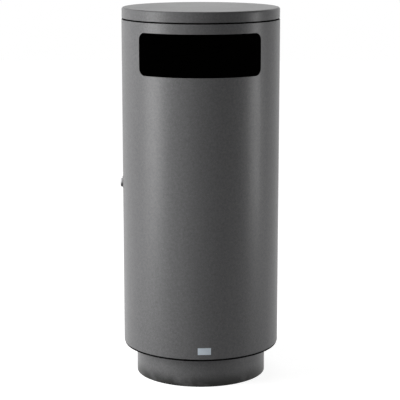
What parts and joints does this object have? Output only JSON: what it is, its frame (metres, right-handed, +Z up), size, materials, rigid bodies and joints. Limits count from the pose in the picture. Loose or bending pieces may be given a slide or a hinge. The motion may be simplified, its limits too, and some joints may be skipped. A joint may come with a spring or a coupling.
{
  "type": "street litter bin",
  "caption": "Round street litter bin on a set-back plinth, with a lockable hinged front door, a wide throw-in opening, a flat lid and a lift-out liner with a bail.",
  "frame": {"origin": "centre of the plinth's foot, on the ground", "axes": "+Z up along the axis of the round body; -Y towards the throw-in opening at the front; +X towards the door's hinge side"},
  "size_m": [0.4056, 0.4006, 0.945],
  "materials": {
    "body_paint": "fine-textured metallic powder coat",
    "black_paint": "matte black powder coat",
    "zinc": "zinc plated",
    "galvanised": "galvanised sheet",
    "chrome": "polished chrome plate",
    "lock_steel": "satin steel",
    "rubber": "moulded black rubber",
    "nylon": "natural nylon",
    "grip_plastic": "moulded black plastic",
    "badge": "plain satin grey"
  },
  "bodies": {
    "frame": {"plinth": "body_paint", "floor_plate": "black_paint", "plinth_studs": "zinc", "plinth_nuts": "zinc", "liner_ring": "black_paint", "rear_shell": "body_paint", "rear_ribs": "black_paint", "rib_screws": "zinc", "lock_post": "black_paint", "hinge_post": "black_paint", "door_buffers": "rubber", "hinge_pins": "zinc", "hinge_washers": "zinc", "top_ring": "black_paint", "lid": "body_paint", "lid_screws": "zinc"},
    "door": {"door_shell": "body_paint", "door_ribs": "black_paint", "hinge_blocks": "black_paint", "hinge_bushes": "nylon", "edge_angle": "black_paint", "badge_plate": "badge", "lock_housing": "chrome", "lock_gasket": "rubber", "lock_nut": "zinc"},
    "lock_core": {"lock_core": "lock_steel", "lock_cam": "zinc", "cam_washer": "zinc", "cam_screw": "zinc"},
    "liner": {"liner_bucket": "galvanised", "liner_ears": "galvanised", "ear_rivets": "zinc"},
    "bail": {"bail_wire": "galvanised", "bail_grip": "grip_plastic"}
  },
  "joints": [
    {"name": "door_hinge", "type": "hinge", "parent": "frame", "child": "door", "pos_m": [0.19135, 0.015, 0.498], "axis": [0, 0, 1], "range_deg": [0, 105]},
    {"name": "lock_turn", "type": "hinge", "parent": "door", "child": "lock_core", "pos_m": [-0.195, 0, 0.497], "axis": [1, 0, 0], "range_deg": [0, 90]},
    {"name": "liner_lift", "type": "slide", "parent": "frame", "child": "liner", "axis": [0, 0, 1], "range_m": [0, 0.025]},
    {"name": "bail_swing", "type": "hinge", "parent": "liner", "child": "bail", "pos_m": [0, 0, 0.71], "axis": [-1, 0, 0], "range_deg": [0, 208.1]}
  ]
}
